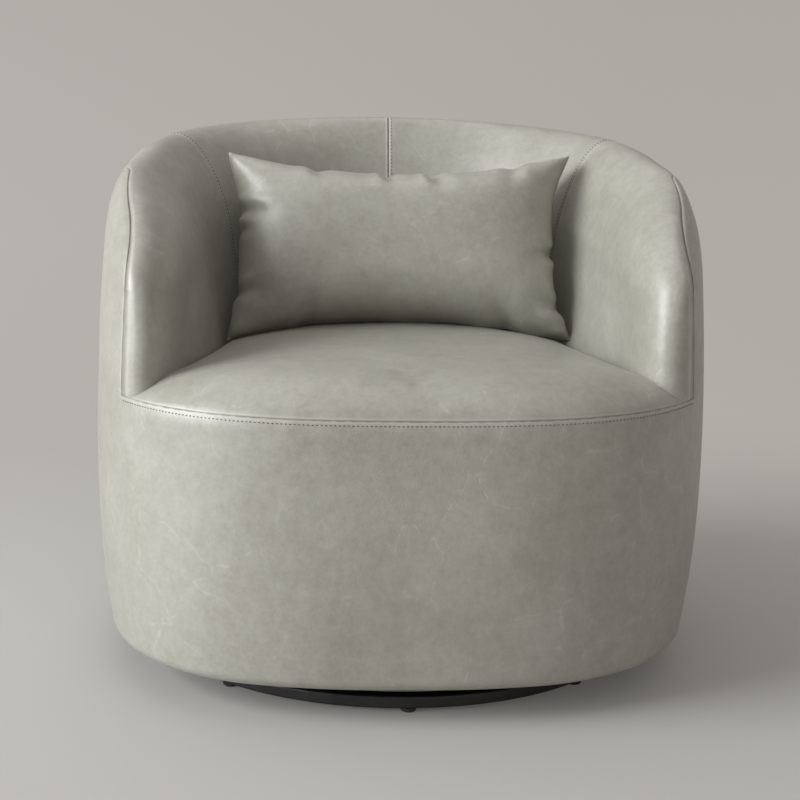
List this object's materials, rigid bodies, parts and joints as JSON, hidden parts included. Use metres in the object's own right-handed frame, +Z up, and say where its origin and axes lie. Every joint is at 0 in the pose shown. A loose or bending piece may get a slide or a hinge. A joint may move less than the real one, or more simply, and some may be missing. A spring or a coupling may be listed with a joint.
{
  "type": "leather swivel armchair",
  "caption": "Round-backed leather barrel armchair with a crowned seat and a loose lumbar pillow, turning on a low steel ring base.",
  "frame": {"origin": "on the floor under the swivel axis, which is the middle of the ring base", "axes": "+Z up along the swivel axis; the chair faces -Y at rest; +X is the sitter's left"},
  "size_m": [0.81, 0.7886, 0.7036],
  "materials": {
    "sage_leather": "smooth aniline pull-up leather with a soft sheen",
    "foam": "bare polyurethane foam",
    "pillow_fibre": "loose polyester fibre in a light inner bag",
    "plywood": "sawn, unfinished",
    "timber": "planed, unfinished",
    "dust_cloth": "thin black non-woven cloth",
    "black_steel": "satin black powder coat",
    "zinc_steel": "zinc plated",
    "brass": "plain",
    "black_nylon": "moulded, matt"
  },
  "bodies": {
    "base": {"base_ring": "black_steel", "base_cross": "black_steel", "hub_plate": "black_steel", "swivel_lower_plate": "black_steel", "swivel_rivet": "zinc_steel", "glide_1": "black_nylon", "glide_2": "black_nylon", "glide_3": "black_nylon", "glide_4": "black_nylon", "glide_5": "black_nylon", "glide_6": "black_nylon", "glide_7": "black_nylon", "glide_8": "black_nylon", "base_bolt_1": "zinc_steel", "base_bolt_2": "zinc_steel", "base_bolt_3": "zinc_steel", "base_bolt_4": "zinc_steel"},
    "chair": {"swivel_upper_plate": "black_steel", "mounting_board": "plywood", "bearer_front": "timber", "bearer_back": "timber", "dust_cover": "dust_cloth", "top_rail": "timber", "board_bolt_1": "zinc_steel", "board_bolt_2": "zinc_steel", "board_bolt_3": "zinc_steel", "board_bolt_4": "zinc_steel", "seat_spring_1": "zinc_steel", "seat_spring_2": "zinc_steel", "seat_spring_3": "zinc_steel", "seat_spring_4": "zinc_steel", "frame_base_left": "plywood", "frame_base_right": "plywood", "seat_deck_left": "plywood", "seat_deck_right": "plywood", "arm_foam_left": "foam", "arm_foam_right": "foam", "rib_short_left": "plywood", "rib_short_right": "plywood", "rib_front_left": "plywood", "rib_front_right": "plywood", "rib_middle_left": "plywood", "rib_middle_right": "plywood", "rib_back_left": "plywood", "rib_back_right": "plywood", "inside_arm_left_cover": "sage_leather", "inside_arm_right_cover": "sage_leather", "inside_back_left_cover": "sage_leather", "inside_back_right_cover": "sage_leather", "band_foam": "foam", "back_foam": "foam", "seat_foam": "foam", "seat_cover": "sage_leather", "front_band_cover": "sage_leather", "outside_back_cover": "sage_leather"},
    "ball_cage": {"ball_cage": "brass"},
    "pillow": {"pillow_cover": "sage_leather", "pillow_fill": "pillow_fibre", "pillow_zip": "brass"}
  },
  "joints": [
    {"name": "swivel", "type": "hinge", "parent": "base", "child": "chair", "pos_m": [0, 0, 0.0366], "axis": [0, 0, 1], "continuous": true},
    {"name": "cage_turn", "type": "hinge", "parent": "base", "child": "ball_cage", "pos_m": [0, 0, 0.0366], "axis": [0, 0, 1], "continuous": true},
    {"name": "pillow_lift", "type": "slide", "parent": "chair", "child": "pillow", "axis": [0, 0, 1], "range_m": [0, 0.35]}
  ],
  "couplings": [
    {"joint": "cage_turn", "follows": "swivel", "ratio": 0.5}
  ]
}
